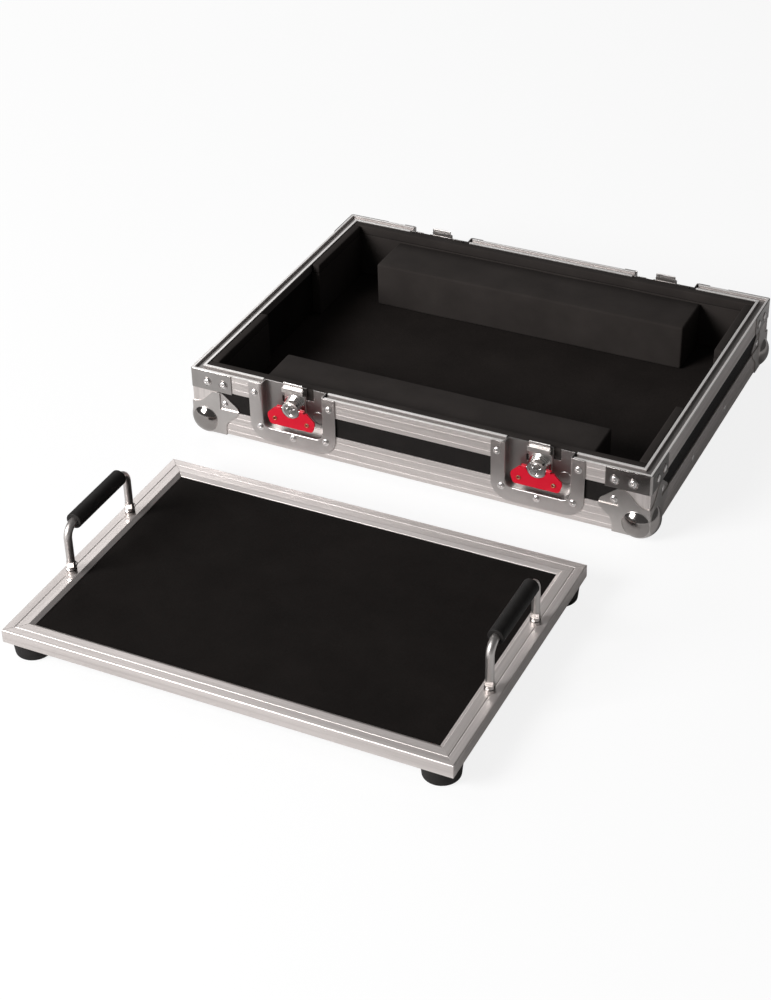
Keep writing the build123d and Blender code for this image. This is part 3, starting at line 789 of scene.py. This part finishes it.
edged = [with_soft_edges(name, radius) for opening, radius in EDGE_RADIUS.items()
         for name in sorted(nodes) if name.startswith(opening)]
edged += [with_soft_edges("board_frame_" + side, FRAME_RADIUS, FRAME_ANGLE) for side in SIDES]
print(len(edged), "parts with rounded edges,",
      sum(len(piece.data.polygons) for piece in edged), "faces")

# %% [markdown]
# ## Foam
# The lining, pads and blocks are cut from sheets of closed-cell foam and glued in. A cut edge is
# slightly rounded, and the faces aren't dead flat: a foam block sags and waves by a fraction of a
# millimetre, which shows as soft changes of tone on its top. Each one starts as the size of its
# solid, gets cross cuts so that it can bend, a rounded edge, and then a gentle push in and out
# along its faces. The lining and the side pads have a ledge below the rim: above it they are
# thinner where the extrusion's lip is, and a small filler closes the gap behind each latch.

# %% Model the foam pieces
WAVE_COUNT = 4
WAVES, PHASES = (18, 60), (0, 6.3)
PUSH_SHARE = 0.95
LEDGE = RIM_Z - 0.0122
SET_BACK, OVERLAP = 0.0015, 0.0005
FILLER_HALF, FILLER_OUT, FILLER_IN = 0.033, 0.001, 0.0002
PAD_BACK, PAD_FACE = 0.0117, 0.024
FRONT_PAD, REAR_PAD = 0.124, 0.121
LOWER_CUT = {"edge": 0.001, "spacing": 0.03, "sag": 0.0003}
UPPER_CUT = {"edge": 0.0018, "spacing": 0.03, "sag": 0.0003}
FILLER_CUT = {"edge": 0.0004, "spacing": 0.02, "sag": 0.0001}
BLOCK_CUT = {"edge": 0.0028, "spacing": 0.02, "sag": 0.0006}


def foam_piece(name, low, high, edge, spacing, sag):
    """A block with rounded edges and a soft uneven surface, inside its own box."""
    piece = add_block(name, [a + sag for a in low], [b - sag for b in high], foam)
    rounding = piece.modifiers.new("cut_edge", "BEVEL")
    rounding.width = edge
    rounding.segments = 3
    apply_all(piece)
    cut_across(piece, low, high, (0, 1, 2), spacing, 40)
    rng = random.Random(name)
    waves = [[rng.uniform(*span) for span in (WAVES, PHASES, WAVES, PHASES)]
             for _ in range(WAVE_COUNT)]
    for vertex in piece.data.vertices:
        co = vertex.co
        push = 0.0
        for a, b, c, d in waves:
            push += math.sin(co.x * a + b) * math.sin(co.y * c + d + co.z * a)
        vertex.co += vertex.normal * (push / WAVE_COUNT) * sag * PUSH_SHARE
    return piece


def replace_foam(name, pads):
    piece = join(pads, name + "_soft")
    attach(piece, "case")
    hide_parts(name)


for side in ("foam_front", "foam_rear"):
    low, high = box_of(side)
    if side == "foam_front":
        upper_y, gap_y = (low[1] + SET_BACK, high[1]), (low[1], low[1] + SET_BACK)
    else:
        upper_y, gap_y = (low[1], high[1] - SET_BACK), (high[1] - SET_BACK, high[1])
    pads = [foam_piece(side + "_low", low, (high[0], high[1], LEDGE), **LOWER_CUT),
            foam_piece(side + "_high", (low[0], upper_y[0], LEDGE - OVERLAP),
                       (high[0], upper_y[1], high[2]), **UPPER_CUT)]
    for centre in (-LATCH_X, LATCH_X):
        pads.append(foam_piece(side + "_filler",
                               (centre - FILLER_HALF, gap_y[0] - FILLER_OUT, LEDGE),
                               (centre + FILLER_HALF, gap_y[1] + FILLER_IN, RIM_Z), **FILLER_CUT))
    replace_foam(side, pads)

pads = []
low, high = box_of("foam_side_pads")
for sign in (-1, 1):
    for y0, y1 in ((low[1], low[1] + FRONT_PAD), (high[1] - REAR_PAD, high[1])):
        face = sign * (RIGHT_X - PAD_FACE)
        thick = sorted((sign * (RIGHT_X - PAD_BACK), face))
        thin = sorted((sign * (RIGHT_X - PAD_BACK - SET_BACK), face))
        pads.append(foam_piece("pad", (thick[0], y0, low[2]), (thick[1], y1, LEDGE), **LOWER_CUT))
        pads.append(foam_piece("pad", (thin[0], y0, LEDGE - OVERLAP), (thin[1], y1, high[2]),
                               **UPPER_CUT))
replace_foam("foam_side_pads", pads)

for side in ("foam_block_front", "foam_block_rear"):
    low, high = box_of(side)
    replace_foam(side, [foam_piece(side + "_cut", low, high, **BLOCK_CUT)])
print("foam pieces made")

# %% [markdown]
# ## Carpet
# The tray's floor and the board are covered with short black needle felt, glued flat. A felt's top
# isn't a plane, so the sheet gets a fine grid whose points stand at slightly different heights, and
# its edge is rolled down by the trimming knife.

# %% Model the felt on the tray's floor and on the board
EDGE_ROLL = 0.0006
ON_TOP, ON_EDGE = 1e-5, 1e-4


def felt_sheet(node, body, material, spacing, fuzz):
    low, high = box_of(node)
    piece = add_block(node + "_felt", low, high, material)
    cut_across(piece, low, high, (0, 1), spacing, 60)
    rng = random.Random(node)
    for vertex in piece.data.vertices:
        x, y, z = vertex.co
        if z > high[2] - ON_TOP:
            to_edge = min(x - low[0], high[0] - x, y - low[1], high[1] - y)
            vertex.co.z -= rng.uniform(0, fuzz) + (EDGE_ROLL if to_edge < ON_EDGE else 0.0)
    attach(piece, body)
    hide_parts(node)


felt_sheet("carpet_floor", "case", felt, 0.012, 0.0005)
felt_sheet("board_carpet", "board", board_felt_painted_shade, 0.010, 0.0004)
print("felt laid")

# %% [markdown]
# ## Rivets and dimples
# Every fitting is held by steel rivets with a low round head and the small round pit that setting
# them leaves. One is modelled and copied: the top of a short cylinder is inset and raised, step by
# step, into a dome, and its middle is pushed in. A shallow ring made in the same way stands for the
# dimple that is pressed into a corner brace round each of its rivets.

# %% Model one rivet and set all of them
RIVET_R, RIVET_HEIGHT = 0.0042, 0.0006
# Each step is an inset and a rise, as shares of the rivet's radius and height.
RIVET_STEPS = ((0.16, 0.8), (0.20, 0.5), (0.20, 0.22), (0.14, 0.04), (0.05, -2.2))
DIMPLE_R, DIMPLE_HEIGHT = 0.0063, 0.0003
DIMPLE_STEPS = ((0.00045, 0.00015), (0.00045, -0.00036))

# Spots are given along the wall and down from the rim. A face is how far out the sheet stands.
DISH_RIVETS = ((-0.0485, 0.0135), (0.0485, 0.0135), (-0.043, 0.0595), (0.043, 0.0595), (0, 0.0655))
RIM_EXTRUSION_DOWN, FLANGE_ON_RIM, FLANGE_ON_WALL = 0.0225, 0.0018, 0.0012
BRACE_RIVETS, BRACE_RIVET_DOWN, BRACE_FACE = (0.0205, 0.042), 0.0148, 0.0012
BALL_RIVET, BALL_RIVET_DOWN, BALL_PLATE_FACE = 0.042, 0.0415, -0.0003
ANGLE_RIVETS, ANGLE_RIVET_DOWN = (0.149, 0.266), 0.066

OUTWARD = {
    "front": Matrix.Rotation(math.radians(90), 4, "X"),
    "rear": Matrix.Rotation(math.radians(-90), 4, "X"),
    "left": Matrix.Rotation(math.radians(-90), 4, "Y"),
    "right": Matrix.Rotation(math.radians(90), 4, "Y"),
}


def pressed_round(name, material, sides, radius, height, steps, smooth_angle):
    """A short cylinder whose top is inset and moved in steps of so much in and so much up."""
    clear_selection()
    bpy.ops.mesh.primitive_cylinder_add(vertices=sides, radius=radius, depth=height,
                                        location=(0, 0, height / 2))
    piece = start(name, material)
    settle(piece)
    edit_faces(piece, lambda face: face.normal.z > 0.9)
    for inset, rise in steps:
        bpy.ops.mesh.inset(thickness=inset)
        bpy.ops.transform.translate(value=(0, 0, rise))
    done(piece, smooth_angle)
    return piece


def on_wall(side, along, proud, down):
    """A place on a wall: along it from its middle, out of its face, and down from the rim."""
    z = RIM_Z - down
    spot = {
        "front": (along, FRONT_Y - proud, z),
        "rear": (-along, REAR_Y + proud, z),
        "left": (LEFT_X - proud, MIDDLE[1] - along, z),
        "right": (RIGHT_X + proud, MIDDLE[1] + along, z),
    }[side]
    return Matrix.Translation(spot) @ OUTWARD[side]


dish_places = []
for side in ("front", "rear"):
    for centre in (-LATCH_X, LATCH_X):
        for along, down in DISH_RIVETS:
            face = FLANGE_ON_RIM if down < RIM_EXTRUSION_DOWN else FLANGE_ON_WALL
            dish_places.append(on_wall(side, centre + along, face, down))

brace_places, corner_places = [], []
for side in SIDES:
    half = HALF_SIZE[0] if side in ("front", "rear") else HALF_SIZE[1]
    for sign in (-1, 1):
        on_brace = [on_wall(side, sign * (half - inward), BRACE_FACE, BRACE_RIVET_DOWN)
                    for inward in BRACE_RIVETS]
        on_ball = on_wall(side, sign * (half - BALL_RIVET), BALL_PLATE_FACE, BALL_RIVET_DOWN)
        brace_places += on_brace
        corner_places += [*on_brace, on_ball]

angle_places = [on_wall(side, sign * (back - HALF_SIZE[1]), 0.0, ANGLE_RIVET_DOWN)
                for side, sign in (("left", -1), ("right", 1)) for back in ANGLE_RIVETS]

rivet = pressed_round("rivet_pattern", bright_zinc, 24, RIVET_R, RIVET_HEIGHT,
                      [(RIVET_R * share, RIVET_HEIGHT * rise) for share, rise in RIVET_STEPS], 50)
for name, places in (("rivets_latches", dish_places), ("rivets_corners", corner_places),
                     ("rivets_angles", angle_places)):
    group = copies(rivet, places, name + "_set")
    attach(group, "case")
    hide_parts(name)
discard(rivet)

dimple = pressed_round("dimple_pattern", zinc, 32, DIMPLE_R, DIMPLE_HEIGHT, DIMPLE_STEPS, 60)
dimples = copies(dimple, brace_places, "brace_dimples")
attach(dimples, "case")
discard(dimple)
print(len(dish_places) + len(corner_places) + len(angle_places), "rivets set")

# %% [markdown]
# ## Eyelets
# Each wing has a small hole near either end, lined by a yellow plated eyelet. The eyelets turn with
# their wing, so every pair rides on its own wing's body.

# %% Set the eyelets in the wings
EYELET_R, EYELET_WIRE_R = 0.0021, 0.0004
EYELET_ALONG, EYELET_DOWN, EYELET_FACE = 0.0209, 0.0395, 0.0053

clear_selection()
bpy.ops.mesh.primitive_torus_add(major_segments=28, minor_segments=10, major_radius=EYELET_R,
                                 minor_radius=EYELET_WIRE_R)
eyelet = start("eyelet_pattern", brass)
done(eyelet, 60)
for side, facing in (("front", 1), ("rear", -1)):
    for hand, way in (("left", -1), ("right", 1)):
        holes = [on_wall(side, facing * way * LATCH_X + along, EYELET_FACE, EYELET_DOWN)
                 for along in (-EYELET_ALONG, EYELET_ALONG)]
        rings = copies(eyelet, holes, "eyelets_" + side + "_" + hand)
        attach(rings, "wing_" + side + "_" + hand)
discard(eyelet)
print("eyelets set")

# %% [markdown]
# ## The floor
# A plain pale floor lies under the set. It isn't part of the object. The camera sees it nearly
# white with the shadow kept, and the metal sees it as it is lit, so the sides that face the shadow
# go dark.

# %% Lay the floor
FLOOR_Z = -0.0002
LIT_GREY, CAMERA_GREY = (0.8, 0.8, 0.8), (0.19, 0.19, 0.19)
CAMERA_GLOW, MIRROR_GLOW = 0.85, 0.02

clear_selection()
bpy.ops.mesh.primitive_plane_add(size=14, location=(0, 0, FLOOR_Z))
floor = bpy.context.object
floor.name = "studio_floor"
floor_finish = Finish("studio_floor")
path = floor_finish.tree.nodes.new("ShaderNodeLightPath")
camera_ray, glossy_ray, glass_ray = (
    Flow(floor_finish, path.outputs[ray])
    for ray in ("Is Camera Ray", "Is Glossy Ray", "Is Transmission Ray"))
whiteness = camera_ray * CAMERA_GLOW + glossy_ray.or_more(glass_ray) * MIRROR_GLOW
floor_finish.surface(
    Base_Color=floor_finish.colours(camera_ray, LIT_GREY, CAMERA_GREY),
    Roughness=1.0,
    Specular_IOR_Level=0.0,
    Emission_Color=floor_finish.colours(whiteness, (0, 0, 0), (1, 1, 1)),
    Emission_Strength=1.0,
)
floor.data.materials.append(floor_finish.material)
print("floor laid")
